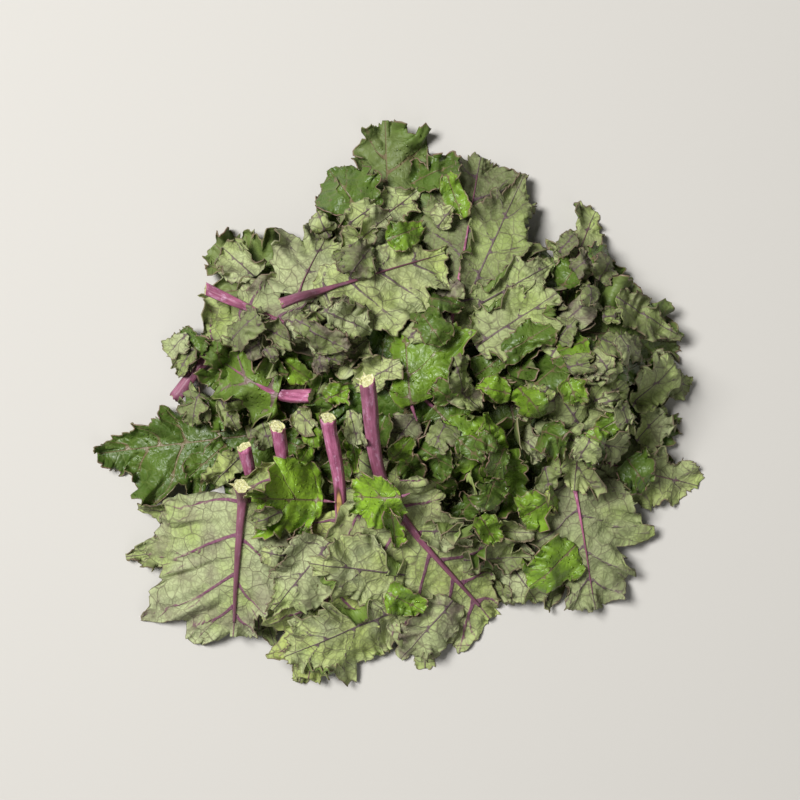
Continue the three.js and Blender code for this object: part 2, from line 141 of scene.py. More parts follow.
class Leaf:
    """One leaf's plan: the midrib, and the blade spread out along its side veins."""

    def __init__(self, number, face, cut, neck, tip, half, rows, girth, *looks):
        self.number, self.rows, self.girth = number, rows, girth
        self.up = 1 if face == "upper" else -1
        self.half = {1: half[0], -1: half[1]}  # the side is 1 for the left
        self.bloom, self.blush, self.fresh, self.frill, self.roll = looks
        self.name, self.loose = f"leaf_{number + 1:02d}", False
        self.knots = np.array([cut, neck, tip], float)
        self.walked = walk(self.line(np.linspace(0, 1, LINE_POINTS)))
        self.length = self.walked[-1]
        self.neck_share = self.walked[LINE_POINTS // 2] / self.length
        self.steps = max(1, int(self.neck_share * self.length / STALK_STEP + 0.5))
        self.pace = self.length * (1 - self.neck_share) / rows  # from one row to the next

    def line(self, t):
        """Points of the midrib, at 0 for the cut, 0.5 for the neck and 1 for the tip."""
        p = self.knots
        p = np.vstack([2 * p[0] - p[1], p, 2 * p[2] - p[1]])
        span = np.minimum((2 * t).astype(int), 1)
        w = (2 * t - span)[:, None]
        gaps = np.sqrt(np.hypot(*np.diff(p, axis=0).T))
        a, b, c, d = (p[span + n] for n in range(4))
        e, f, g = (gaps[span + n][:, None] for n in range(3))
        leave = ((b - a) / e - (c - a) / (e + f) + (c - b) / f) * f
        arrive = ((c - b) / f - (d - b) / (f + g) + (d - c) / g) * f
        bend = 3 * (c - b) - 2 * leave - arrive
        return b + w * (leave + w * (bend + w * (2 * (b - c) + leave + arrive)))

    def rib(self, k):
        """Where row k crosses the midrib, its direction, the way to its left, and the stem's radius.
        Rows below zero are on the stalk, and those past the last are just beyond the tip."""
        share = np.where(k < 0, -k / self.steps, np.minimum(k, self.rows) / self.rows)
        u = np.where(k < 0, mix(self.neck_share, 0, share), mix(self.neck_share, 1, share))
        t = np.interp(u * self.length, self.walked, np.linspace(0, 1, LINE_POINTS))
        at = self.line(t)
        along = self.line(np.minimum(t + 1e-4, 1)) - self.line(np.maximum(t - 1e-4, 0))
        along /= np.hypot(*along.T)[:, None]
        at = at + along * (np.maximum(k - self.rows, 0) * self.pace)[:, None]
        left = np.stack([-along[:, 1], along[:, 0]], 1)
        stalk = mix(NECK_RADIUS, CUT_RADIUS, share) * self.girth
        radius = np.where(k < 0, stalk, mix(NECK_RADIUS * self.girth, RIB_END_RADIUS, share**0.7))
        return at, along, left, radius

    def reach(self, k, side):
        """From the midrib to the edge along a side vein, as on the solid. k is whole rows."""
        share = k / self.rows
        spread = np.minimum(1, 0.6 + 1.6 * share)
        taper = (1 - (np.maximum(0, share - 0.4) / 0.62) ** 2) ** 0.8
        cut = np.where(k % 2 == 0, mix(0.62, 0.8, share), 1)
        stray = mix(0.82, 1.16, chance(self.number, k, side))
        return self.half[side] * spread * taper * cut * stray

    def rays(self, k, side):
        """Where the side veins leave the strip along the midrib, and their directions."""
        at, along, left, radius = self.rib(k)
        angle = mix(VEIN_ANGLE_NECK, VEIN_ANGLE_TIP, np.minimum(k / self.rows, 1))[:, None]
        vein = along * np.cos(angle) + left * side * np.sin(angle)
        return at + left * (side * (radius + STRIP_SPARE))[:, None], vein


leaves = [Leaf(number, *row) for number, row in enumerate(LEAVES)]


def corners(node):
    points = np.empty(len(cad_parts[node].data.vertices) * 3)
    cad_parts[node].data.vertices.foreach_get("co", points)
    return points.reshape(-1, 3) * 1000


def corner_triangles(node):
    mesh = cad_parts[node].data
    mesh.calc_loop_triangles()
    order = np.empty(len(mesh.loop_triangles) * 3, int)
    mesh.loop_triangles.foreach_get("vertices", order)
    return corners(node)[order].reshape(-1, 3, 3)


def plan_rows(leaf):
    """The solid blade's corners in plan, by row and column from the left edge to the right."""
    k = np.arange(leaf.rows + 1)
    columns = []
    for side, shares in ((1, SIDE_COLUMNS), (-1, SIDE_COLUMNS[::-1])):
        root, vein = leaf.rays(k, side)
        columns += [root + vein * (leaf.reach(k, side) * t)[:, None] for t in shares]
    return np.stack(columns, 1)


# The solids stand with the middle of the heap at zero, so the plan is moved to match them.
shift = corners("leaf_01_blade").min(0)[:2] - plan_rows(leaves[0]).min((0, 1))


def height_at(solid, place):
    """The middle of the solid's heights at a corner in plan."""
    near = np.hypot(*(solid[:, :2] - place).T)
    z = solid[near < near.min() + 0.02, 2]
    return (z.min() + z.max()) / 2


# ---- Room for each leaf ----
# A leaf lies on those below it and under those above it, and its ruffles fill the room between.
# Both are kept as heights over a grid of small square cells.

CELL, REACH = 1.5, 210  # the grid reaches this far each way from the middle of the heap
SIDE = int(2 * REACH / CELL)
HEAD_ROOM = 200  # where nothing lies above


def cells(points):
    column, row = (np.clip(points[:, :2] + REACH, 0, 2 * REACH - 1) / CELL).astype(int).T
    return row * SIDE + column


def spots(triangles, cuts=12):
    """Points spread evenly over triangles."""
    a, b = np.meshgrid(np.arange(cuts + 1), np.arange(cuts + 1))
    a, b = a[a + b <= cuts] / cuts, b[a + b <= cuts] / cuts
    weights = np.stack([1 - a - b, a, b], 1)
    return np.einsum("wc,tcx->twx", weights, triangles).reshape(-1, 3)


def widened(grid, pick):
    """Each cell takes the highest or lowest of itself and the cells round it."""
    grid = grid.reshape(SIDE, SIDE)
    for axis in (0, 1):
        grid = pick(grid, pick(np.roll(grid, 1, axis), np.roll(grid, -1, axis)))
    return grid.ravel()


ceiling = np.full(SIDE * SIDE, float(HEAD_ROOM))
for leaf in leaves[::-1]:
    leaf.ceiling = widened(ceiling, np.minimum)
    for part in ("blade", "stem"):
        under = spots(corner_triangles(f"{leaf.name}_{part}"))
        np.minimum.at(ceiling, cells(under), under[:, 2])
floor = np.zeros(SIDE * SIDE)


def evened(grid, reach):
    """The means of a grid over squares of cells that reach some cells each way."""
    grid = grid.reshape(SIDE, SIDE)
    for axis in (0, 1):
        grid = sum(np.roll(grid, n, axis) for n in range(-reach, reach + 1)) / (2 * reach + 1)
    return grid.ravel()


# The heap slumps, so loose lobes are pressed together above the level of the large leaves.
SQUASHED = 6  # how high a lobe still stands where the heap is full
LOBES_OVER, UNEVEN = 22, 8  # how far over the large leaves the heap is full, and how that varies
HEAP_TOP = 88
skyline = np.zeros(SIDE * SIDE)
for leaf in leaves:
    over = spots(corner_triangles(f"{leaf.name}_blade"))
    np.maximum.at(skyline, cells(over), over[:, 2])
grid_y, grid_x = CELL * np.array(np.divmod(np.arange(SIDE * SIDE), SIDE))
skyline = evened(widened(widened(skyline, np.maximum), np.maximum), 8)
skyline = skyline + LOBES_OVER + UNEVEN * crumple(grid_x, grid_y, 45, 5)
skyline = np.minimum(skyline, HEAP_TOP)


def read(grid, points):
    """Heights of a grid at points in plan, evened out between the cells."""
    place = (points[..., :2] + REACH) / CELL - 0.5
    column, row = np.clip(np.floor(place), 0, SIDE - 2).astype(int).transpose(2, 0, 1)
    w, v = (place - np.floor(place)).transpose(2, 0, 1)
    at = row * SIDE + column
    near = mix(grid[at], grid[at + 1], w)
    return mix(near, mix(grid[at + SIDE], grid[at + SIDE + 1], w), v)


# ---- Finishes ----
# The back of a leaf is dull and waxy, with raised purple veins that part into a net. The face is
# brighter, smoother and glossy. Both turn a brownish purple along the cut of the edge.


class Signal:
    """A value that varies over a surface. Sums on it add the nodes that work them out."""

    def __init__(self, finish, socket):
        self.finish, self.socket = finish, socket

    def sum(self, operation, *values):
        return self.finish.node("Math", {"operation": operation}, dict(enumerate(values)))

    def __add__(self, other):
        return self.sum("ADD", self, other)

    def __sub__(self, other):
        return self.sum("SUBTRACT", self, other)

    def __rsub__(self, other):
        return self.sum("SUBTRACT", other, self)

    def __mul__(self, other):
        return self.sum("MULTIPLY", self, other)

    __radd__, __rmul__ = __add__, __mul__

    def most(self, other):
        return self.sum("MAXIMUM", self, other)

    def fade(self, low, high, out=(0, 1)):
        """out[0] up to low and out[1] from high on, with a soft change between."""
        ends = dict(zip((1, 2, 3, 4), (low, high, *out)))
        smooth = {"interpolation_type": "SMOOTHSTEP"}
        return self.finish.node("MapRange", smooth, {0: self, **ends})


def paint(code):
    """The colour of a six-digit code, as light."""
    parts = [int(code[n : n + 2], 16) / 255 for n in (0, 2, 4)]
    return [*(p / 12.92 if p < 0.04045 else ((p + 0.055) / 1.055) ** 2.4 for p in parts), 1]


class Finish:
    """A material and the nodes it is made of."""

    def __init__(self, name):
        self.material = bpy.data.materials.new(name)
        self.material.use_nodes = True
        self.tree = self.material.node_tree
        self.surface = next(n for n in self.tree.nodes if n.type == "BSDF_PRINCIPLED")

    def node(self, kind, settings=(), values=(), out=0):
        made = self.tree.nodes.new("ShaderNode" + kind)
        for key, value in dict(settings).items():
            setattr(made, key, value)
        self.fill(made, values)
        return Signal(self, made.outputs[out])

    def fill(self, node, values):
        for key, value in dict(values).items():
            if isinstance(value, Signal):
                self.tree.links.new(value.socket, node.inputs[key])
            else:
                node.inputs[key].default_value = value

    def measure(self, name):
        return self.node("Attribute", {"attribute_name": name}, out=2)

    def blend(self, factor, first, second):
        values = {0: factor, 6: first, 7: second}
        return self.node("Mix", {"data_type": "RGBA"}, values, out=2)

    def bump(self, height, depth, **more):
        values = {"Strength": 1.0, "Distance": depth, "Height": height, **more}
        return self.node("Bump", {}, values)

    def speckle(self, place, scale, detail=2.0, roughness=0.5):
        values = {"Vector": place, "Scale": scale, "Detail": detail, "Roughness": roughness}
        return self.node("TexNoise", {}, values)

    def veins(self, place, scale):
        """The distance to the nearest vein of a net, in shares of its spacing."""
        values = {"Vector": place, "Scale": scale, "Randomness": 0.9}
        return self.node("TexVoronoi", {"feature": "DISTANCE_TO_EDGE"}, values)

    def finished(self, **values):
        """The material. A _ stands for the space in the name of what a value goes into."""
        self.fill(self.surface, {key.replace("_", " "): value for key, value in values.items()})
        return self.material


def leaf_finish(name, hues, gloss, net, relief, wet=False):
    """gloss is the roughness, net how strongly the small veins are coloured, relief how high the
    panels between them and the side veins stand, and wet whether drops of water lie on it."""
    green, waxy, flushed, fresh, deep, thin_vein, stout_vein, small_veins, edge = map(paint, hues)
    make = Finish(name)
    flat = make.node("UVMap", {"uv_map": "flat"})
    stray = make.node("TexNoise", {}, {"Vector": flat, "Scale": 60, "Detail": 2}, out=1)
    bent = make.node("VectorMath", {"operation": "SCALE"}, {0: stray, "Scale": 0.006})
    place = make.node("VectorMath", {"operation": "ADD"}, {0: flat, 1: bent})
    clouds = make.speckle(flat, 28, 3)
    drift = make.speckle(flat, 70, 4, 0.6)
    grain = make.speckle(flat, 700, 3, 0.6)

    colour = make.blend(clouds.fade(0.4, 0.62) * 0.6, green, deep)
    colour = make.blend(make.measure("bloom") * clouds.fade(0.25, 0.6), colour, waxy)
    # Freshness turns the blade the fresh yellow-green. Above one it covers more of the blade, partly
    # painted light on small leaves that lie low in shade. Below zero it turns the blade the deep
    # green instead, partly the leaf's darker tone and partly painted shade.
    fresh_and_painted_shade = make.measure("fresh")
    colour = make.blend(fresh_and_painted_shade.most(0) * drift.fade(0.3, 0.62), colour, fresh)
    colour = make.blend((fresh_and_painted_shade * -1).most(0) * clouds.fade(0.15, 0.5), colour, deep)
    colour = make.blend(make.measure("blush") * drift.fade(0.42, 0.66), colour, flushed)

    wide = make.veins(place, 118)
    fine = make.veins(place, 330)
    tapered = make.speckle(flat, 45, 1)
    big = make.measure("side_vein").fade(-0.15, 0.4, (1, 0))
    lines = wide.fade(0.015, 0.06, (1, 0)) * tapered.fade(0.3, 0.6, (0.45, 1))
    hair = fine.fade(0.02, 0.12, (1, 0)) * 0.45
    colour = make.blend(lines.most(hair) * net, colour, small_veins)
    vein = make.blend(make.measure("girth").fade(0.8, 1), thin_vein, stout_vein)
    colour = make.blend(big, colour, vein)
    colour = make.blend(grain.fade(0.35, 0.75) * 0.22, colour, waxy)
    margin = make.measure("margin").fade(0.1, 0.7, (1, 0)) * drift.fade(0.3, 0.6, (0.2, 0.9))
    colour = make.blend(margin, colour, edge)

    panel = wide.fade(0, 0.3) * 0.7 + fine.fade(0, 0.25) * 0.3
    height = panel * relief[0] + grain * 0.1 + big * relief[1]
    bump = make.bump(height, 0.0006)
    rough = grain.fade(0.2, 0.8, gloss) + make.measure("bloom") * 0.2
    if wet:
        drop = make.node("TexVoronoi", {}, {"Vector": flat, "Scale": 420, "Randomness": 1.0})
        here = make.speckle(flat, 38, 1).fade(0.5, 0.58)
        dome = drop.fade(0.08, 0.3, (1, 0)) * here
        rough = rough * dome.fade(0, 0.2, (1, 0.25))
        bump = make.bump(dome, 0.0007, Normal=bump)
    return make.finished(Base_Color=colour, Roughness=rough, Normal=bump)


blade_back = leaf_finish(
    "leaf_back",
    ("98ab5a", "adb588", "6f6258", "adbc58", "596238", "5c4450", "75405f", "574d3c", "6e5c4c"),
    gloss=(0.6, 0.8), net=0.75, relief=(-0.8, 0.6),
)
blade_face = leaf_finish(
    "leaf_face",
    ("5a7622", "717d48", "5e5c42", "82a82a", "385414", "6f6045", "75605a", "667436", "85695c"),
    gloss=(0.33, 0.55), net=0.4, relief=(1.0, -0.5), wet=True,
)

# ---- Blades ----
# A blade is a thin sheet. Between the side veins it is blistered, and towards its lobed and toothed
# edge there is more and more of it, so that it ruffles and in places rolls over.

SHEET = 0.6  # how thick a blade is
ROW_STEP, COLUMN_STEP = 0.85, 2.2  # about how far apart the fine grid's rows and columns are
TOOTH = 5.8  # from one tooth to the next
ROLL_BAND = 9  # the part of the blade by the edge that rolls
CLEAR = 0.5  # between the middle of one sheet and the surface of the next
FAR = 99.0  # from any side vein
FORKS = ((0.28, 1), (0.45, -1), (0.64, 1), (0.76, -1))  # where side veins fork, and which way
PATTERN = 400  # by chance, a blade's finish starts up to this far along


def lay_out(mesh, name, across):
    """A flat map of the mesh, in metres."""
    order = np.empty(len(mesh.loops), int)
    mesh.loops.foreach_get("vertex_index", order)
    flat = mesh.uv_layers.new(name=name)
    flat.data.foreach_set("uv", (across.reshape(-1, 2)[order] * 0.001).ravel())


def note(mesh, name, values):
    held = mesh.attributes.new(name, "FLOAT", "POINT")
    values = np.broadcast_to(values, len(mesh.vertices))
    held.data.foreach_set("value", values.astype(np.float32))


def side_veins(leaf, side):
    """The rows from which the side veins leave the midrib, unevenly, and how far apart they are."""
    gap = 2 if leaf.pace > 7.5 else 3 if leaf.pace > 5.5 else 4
    rows = [0.6 + 0.8 * chance(leaf.number, 3, side) - gap]
    while rows[-1] < leaf.rows + gap:
        rows.append(rows[-1] + gap * mix(0.8, 1.2, chance(leaf.number, len(rows), side + 50)))
    return np.array(rows), gap


def notched(k, places, depths, width):
    """The share that sharp cuts at some rows take off the reach."""
    deep = depths * np.maximum(0, 1 - np.abs(k[:, None] - places) / width)
    return 1 - deep.max(1)


def edge_of(leaf, k, side):
    """The reach of the edge without its teeth and with them. There is a broad lobe to each side
    vein, a sharp cut between two lobes, a shallower one in each, and teeth all along."""
    n = leaf.number
    lobes = leaf.reach(np.arange(1, leaf.rows + 1, 2), side)
    plain = through(lobes, (k - 1) / 2) * step(k, -1, 1.2)  # the blade starts narrow
    end = 1 - np.clip((k - leaf.rows + 1.3) / 2, -1, 1) ** 2  # the round lobe at the tip
    plain = np.maximum(plain * (k < leaf.rows), 0.3 * min(leaf.half.values()) * end**0.8)
    veins, gap = side_veins(leaf, side)
    between = (veins[1:] + veins[:-1]) / 2
    deep = mix(0.08, 0.42, chance(n, np.arange(len(between)), 60 + side)) * mix(0.8, 1.2, leaf.frill)
    deep = deep * step(between, leaf.rows, leaf.rows - 2)
    small = np.concatenate([mix(veins[:-1], between, 0.45), mix(veins[1:], between, 0.45)])
    slight = mix(0.02, 0.2, chance(n, np.arange(len(small)), 64 + side)) * mix(0.8, 1.2, leaf.frill)
    reach = plain * notched(k, between, deep, 0.34 * gap) * notched(k, small, slight, 0.16 * gap)
    per_row = max(1, round(1.3 * leaf.pace / TOOTH))
    phase = k * per_row + 0.5 * crumple(k, 0, 1.9, n + side * 40)
    tooth, rise = np.floor(phase), phase - np.floor(phase)
    size = 4 * mix(0.15, 1, chance(n, tooth, 7 + side))
    size = size * np.minimum(1, leaf.half[side] / 22)
    return plain, reach + size * (rise**1.3 - 0.45) * np.minimum(1, reach / 8)


def across_sheet(rows, t):
    """Heights at shares t of the way to the edge, from those at the solid's four columns."""
    stops = np.array(SIDE_COLUMNS[::-1])
    slope = np.gradient(rows, stops, axis=1)
    span = np.clip(np.searchsorted(stops, t, "right") - 1, 0, 2)
    size = np.diff(stops)[span]
    w = (t - stops[span]) / size
    a, b, p, q = rows[:, span], rows[:, span + 1], slope[:, span] * size, slope[:, span + 1] * size
    return a + w * (p + w * (3 * (b - a) - 2 * p - q + w * (2 * (a - b) + p + q)))


class Sheet:
    """One finished blade: a grid of places, its flat map, and its distances to veins and edge."""

    def __init__(self, leaf, heights):
        """heights are those of the solid blade's corners, by row and column from the left edge."""
        self.leaf = leaf
        cuts = int(np.clip(leaf.pace / ROW_STEP, 4, 13))
        self.k = np.arange((leaf.rows + 0.7) * cuts) / cuts
        left, right = (self.half(side, heights) for side in (1, -1))
        join = [mix(a[:, :1], b[:, :1], 0.5) for a, b in zip(left, right)]
        whole, self.flat, self.side_vein, self.margin, base = (
            np.concatenate([a[:, ::-1], m, b], 1) for a, m, b in zip(left, join, right)
        )
        self.middle = left[0].shape[1]
        self.side_vein[:, self.middle] = -self.rib_line(self.k)
        self.places = self.fitted(whole, base)

    def rib_line(self, k):
        """Half the width of the midrib's own colour, where no stem covers it."""
        return mix(0.8, 0.15, np.minimum(k / self.leaf.rows, 1)) * self.leaf.girth

    def half(self, side, heights):
        leaf, k = self.leaf, self.k
        root, vein = leaf.rays(k, side)
        plain, reach = edge_of(leaf, k, side)
        columns = int(np.clip(leaf.half[side] / COLUMN_STEP, 8, 18))
        t = 1 - (1 - np.linspace(0, 1, columns + 1)) ** 1.35
        own = heights[:, 3::-1] if side > 0 else heights[:, 4:]
        base = across_sheet(through(own, k), t)
        walked = walk(root + vein * plain[:, None])
        half = detail(leaf, side, k, t, root + shift, vein, reach, base, walked)
        from_rib = (reach[:, None] * t) + (leaf.rib(k)[3] + STRIP_SPARE - self.rib_line(k))[:, None]
        np.minimum(half[2], from_rib, out=half[2])
        return half

    def fitted(self, whole, base):
        """Holds the sheet over the floor and under the ceiling, without lifting its solid."""
        low = np.maximum(read(floor, whole) + CLEAR, CLEAR)
        high = read(self.leaf.ceiling, whole) - CLEAR
        if self.leaf.loose:
            least = np.clip(high - low, 0.01, SQUASHED)
            room = np.maximum(np.minimum(high, read(skyline, whole)) - low, least)
            fitted = low + room * (1 - np.exp(-np.maximum(whole[..., 2] - low, 0) / room))
        else:
            fitted = np.clip(whole[..., 2], np.minimum(low, base), np.maximum(high, base))
        change = fitted - whole[..., 2]
        for _ in range(2):
            padded = np.pad(change, 1, "edge")
            around = padded[2:, 1:-1] + padded[:-2, 1:-1] + padded[1:-1, 2:] + padded[1:-1, :-2]
            change = mix(change, around / 4, 0.4)
        whole[..., 2] = np.maximum(whole[..., 2] + change, CLEAR)
        return whole

    def settle(self):
        settle_on_floor(self.places.swapaxes(0, 1), SHEET / 2)


def near_veins(leaf, side, k, t, width):
    """How far places are from the nearest side vein or branch, less than zero within it, and how
    far across the panel between two side veins. width is how far apart whole rows are there."""
    rows, gap = side_veins(leaf, side)
    nearest = np.full(width.shape, FAR)
    for m, row in enumerate(rows[rows < leaf.rows - 0.8]):
        bent = k - row + 0.12 * gap * np.sin(t * 4 + m)
        nearest = np.minimum(nearest, np.abs(bent) * width - mix(1, 0.12, t**0.6) * leaf.girth**2)
        for fork, way in FORKS:
            start = fork + 0.12 * chance(leaf.number, m, side + way * 5)
            away = bent - way * gap * 0.5 * np.maximum(t - start, 0) ** 0.85
            branch = np.abs(away) * width - 0.3 * leaf.girth * (1.1 - t) + 9 * (t < start)
            nearest = np.minimum(nearest, branch)
    panel = (k - rows[np.searchsorted(rows, k[:, 0], "right") - 1][:, None]) / gap
    return nearest, np.clip(panel, 0, 1)


def rolled(whole, turn):
    """Turns each leg of the way to the edge further up and over than the last."""
    legs = np.diff(whole, axis=1)
    run = np.hypot(legs[..., 0], legs[..., 1])
    out = legs[..., :2] / np.maximum(run, 1e-6)[..., None]
    ahead = run * np.cos(turn) - legs[..., 2] * np.sin(turn)
    rising = run * np.sin(turn) + legs[..., 2] * np.cos(turn)
    legs = np.concatenate([out * ahead[..., None], rising[..., None]], -1)
    whole[:, 1:] = whole[:, :1] + np.cumsum(legs, 1)
    return whole


def detail(leaf, side, k, t, root, vein, reach, base, walked):
    """Adds to one half of the blade what its solid lacks."""
    n = leaf.number
    places = root[:, None] + vein[:, None] * (reach[:, None] * t)[..., None]
    k, t, reach = k[:, None], t[None], reach[:, None]
    x, y = places[..., 0], places[..., 1]
    flat = np.stack([x, y], -1) + PATTERN * chance(n, 1, 1)
    inside = step(t, 0, 0.2)
    margin = (1 - t) * reach

    spacing = np.gradient(places, axis=0) / np.gradient(k, axis=0)[..., None]
    width = np.abs(spacing[..., 0] * vein[:, None, 1] - spacing[..., 1] * vein[:, None, 0])
    side_vein, panel = near_veins(leaf, side, k, t, width)
    middle = np.sin(panel * np.pi) ** 2 * np.sin(t * np.pi) ** 0.5
    z = base + leaf.up * middle * np.minimum(1.8, width * 0.16)
    z = z - leaf.up * 0.5 * np.exp(-((np.maximum(side_vein, 0) / 0.9) ** 2)) * (1 - t**4) * inside
    z = z + (0.8 * crumple(x, y, 8, n + 3) + 1.2 * crumple(x, y, 19, n + 5)) * inside

    wave = mix(15, 20, chance(n, 5, side)) * (0.55 if leaf.loose else 1)
    phase = TAU * walked[:, None] / wave
    phase = phase + 2.2 * crumple(k, 0, 4.5, n + side * 9) + 1.1 * t
    size = leaf.frill * mix(0.45, 1.25, 0.5 + 0.5 * crumple(k, 0, 5, n + side * 17))
    size = size * np.minimum(1, reach / 16) * 5 * t**2.6
    tight = 2.3 * phase + 1.5 * crumple(k, 0, 2, n + side * 29)
    edging = 1.7 * leaf.frill * np.minimum(1, reach / 12) * t**5
    z = z + size * (np.cos(phase) + 0.55) + edging * np.cos(tight)
    pull = np.stack([-vein[:, 1], vein[:, 0]], 1)[:, None] * side
    sway = 0.4 * size * np.sin(2 * phase) + 0.35 * edging * np.sin(2 * tight)
    places = places - pull * sway[..., None]
    warp = np.stack([crumple(x, y, 30, n + 11), crumple(x, y, 30, n + 13)], -1)
    places = places + 2 * warp * (inside * t)[..., None]

    whole = np.concatenate([places, z[..., None]], -1)
    room = read(leaf.ceiling, whole[:, -1:])[:, 0] - whole[:, -1, 2]
    room = np.convolve(np.pad(room, 4, "edge"), np.ones(9) / 9, "valid")
    most = 3.6 * leaf.roll * np.maximum(0, crumple(k[:, 0], 0, 3.4, n + side * 23) + 0.15)
    most = np.minimum(most, 2.8) * step(room, 3, 9) * step(reach[:, 0], 5, 12)
    turn = (most[:, None] * step(margin, ROLL_BAND, 0))[:, 1:]
    return rolled(whole, turn), flat, side_vein, margin, base


def settle_on_floor(rows, lift):
    """Adds rows of places, and those halfway to the next row, to what the next leaves lie on."""
    points = np.concatenate([rows[:-1], mix(rows[:-1], rows[1:], 0.5)]).reshape(-1, 3)
    np.maximum.at(floor, cells(points), points[:, 2] + lift)


def added(name, data):
    """An object of the scene, at the origin."""
    made = bpy.data.objects.new(name, data)
    bpy.context.scene.collection.objects.link(made)
    return made


def mesh_from_grids(name, grids):
    """A mesh of four-sided cells through grids of points, each by row and column."""
    shape = bmesh.new()
    for rows, columns in (grid.shape[:2] for grid in grids):
        bmesh.ops.create_grid(shape, x_segments=columns - 1, y_segments=rows - 1, size=1)
    mesh = bpy.data.meshes.new(name)
    shape.to_mesh(mesh)
    shape.free()
    places = np.concatenate([grid.reshape(-1, 3) for grid in grids])
    mesh.vertices.foreach_set("co", (places * 0.001).ravel())
    mesh.shade_smooth()
    return mesh


def blade_piece(name, sheets, nodes):
    """The piece for some sheets that are one object, in place of some nodes."""
    mesh = mesh_from_grids(name, [sheet.places for sheet in sheets])
    lay_out(mesh, "flat", np.concatenate([sheet.flat.reshape(-1, 2) for sheet in sheets]))
    for measure in ("side_vein", "margin"):
        note(mesh, measure, np.concatenate([getattr(sheet, measure).ravel() for sheet in sheets]))
    sizes = [sheet.margin.size for sheet in sheets]
    for look in ("bloom", "blush", "fresh", "girth"):
        note(mesh, look, np.repeat([getattr(sheet.leaf, look) for sheet in sheets], sizes))
    turned = [sheet.leaf.up < 0 for sheet in sheets]
    quads = [(a - 1) * (b - 1) for a, b in (sheet.margin.shape for sheet in sheets)]
    mesh.polygons.foreach_set("material_index", np.repeat(np.array(turned, int), quads))
    for finish in (blade_face, blade_back, blade_face):
        mesh.materials.append(finish)
    piece = added(name, mesh)
    thicken = piece.modifiers.new("sheet", "SOLIDIFY")
    thicken.thickness = SHEET * 0.001
    thicken.offset = 0
    thicken.material_offset = 1
    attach(piece, "root")
    if nodes:
        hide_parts(*nodes)


def leaf_blade(leaf):
    solid = corners(f"{leaf.name}_blade")
    heights = [[height_at(solid, place) for place in row] for row in plan_rows(leaf) + shift]
    sheet = Sheet(leaf, np.array(heights))
    slot = "blade_face" if leaf.up > 0 else "blade_back"
    blade_piece(f"{leaf.name}_fine_blade", [sheet], [f"{leaf.name}_blade"])
    sheet.settle()
    return sheet


# ---- Stems ----
# A stalk is firm, ribbed lengthwise and purple under a waxy bloom, and pale where it was cut. It
# runs on as the midrib, raised on the back of the blade, and fades out towards the tip.

AROUND = 24
STALK_CUTS, RIB_CUTS = 6, 4  # fine rings to each of the solid's
TURN = np.linspace(0, TAU, AROUND + 1)[None]  # once round a stem
SLIGHT = 0.6  # stems of this girth or less hardly show
PITH = ((0, 0.1), (0.3, -0.15), (0.6, 0.12), (0.8, -0.1), (0.92, 0))  # rings: how far out, how rough
SCARS = {25: 58}  # how far along the stalk a leaf has a healed graze
SCAR_TURN, SCAR_WIDTH, SCAR_LENGTH = 1.8, 2, 11
SHREDDED = {18: 3, 19: 4, 24: 2, 25: 1, 26: 3, 27: 3}  # how many shreds hang from the torn end


def stem_finish():
    make = Finish("stalk")
    flat = make.node("UVMap", {"uv_map": "round"})
    turned = make.node("Mapping", {}, {"Vector": flat, "Scale": (1, 0.12, 1)})
    streak = make.speckle(turned, 420, 4, 0.65)
    patch = make.speckle(flat, 60, 3, 0.6)
    brushed = make.node("Mapping", {}, {"Vector": flat, "Scale": (1, 0.35, 1)})
    bloom = make.speckle(brushed, 300, 5, 0.75)
    colour = make.blend(streak.fade(0.35, 0.65), paint("8a4462"), paint("c27496"))
    colour = make.blend(patch.fade(0.45, 0.75) * 0.7, colour, paint("6a3348"))
    colour = make.blend(bloom.fade(0.52, 0.64) * 0.65, colour, paint("d8aac6"))
    colour = make.blend(make.measure("fading") * 0.6, colour, paint("6e4a58"))
    colour = make.blend(make.measure("bloom").fade(0.6, 0.95) * 0.75, colour, paint("6e4652"))
    scar = make.measure("scar")
    colour = make.blend(scar.fade(0.1, 0.3), colour, paint("5d3a34"))
    colour = make.blend(scar.fade(0.3, 0.6), colour, paint("c09a60"))
    height = streak * 0.7 + bloom * 0.4
    rough = streak.fade(0.2, 0.8, (0.38, 0.6))
    return make.finished(Base_Color=colour, Roughness=rough, Normal=make.bump(height, 0.0004))


def cut_finish():
    make = Finish("cut_stalk")
    place = make.node("TexCoord", {}, {}, out=3)
    pith = make.speckle(place, 900, 4, 0.7)
    colour = make.blend(pith.fade(0.3, 0.6), paint("e9e4c0"), paint("c6c485"))
    colour = make.blend(pith.fade(0.58, 0.75) * 0.8, colour, paint("8f7c4c"))
    rough = pith.fade(0.2, 0.8, (0.5, 0.75))
    return make.finished(Base_Color=colour, Roughness=rough, Normal=make.bump(pith, 0.0006))


stalk, cut_stalk = stem_finish(), cut_finish()


def shred(number, middle, out, across, upright, radius):
    """A strip of fibre that the tear left on the rim of a stalk. It leans and curls outwards."""
    a, b, c, d = (chance(number, n, 4) for n in range(4))
    side = across * np.cos(TAU * a) + upright * np.sin(TAU * a)
    t = np.linspace(0, 1, 9)[:, None]
    length, lean = mix(1.5, 3.8, b), mix(0.2, 1.4, c)
    ahead = out * (length * (t - 0.3 - 0.5 * d * t**2))
    path = middle + side * (radius * 0.8 + length * lean * t**2) + ahead
    girth = radius * 0.2 * np.sin(np.minimum(t * 1.15 + 0.08, 1) * np.pi) ** 0.6
    girth[[0, -1]] = 0
    ring = np.linspace(0, TAU, 7)[None, :, None]
    tangent = np.cross(out, side)
    return path[:, None] + girth[:, None] * (tangent * np.cos(ring) + 0.5 * side * np.sin(ring))


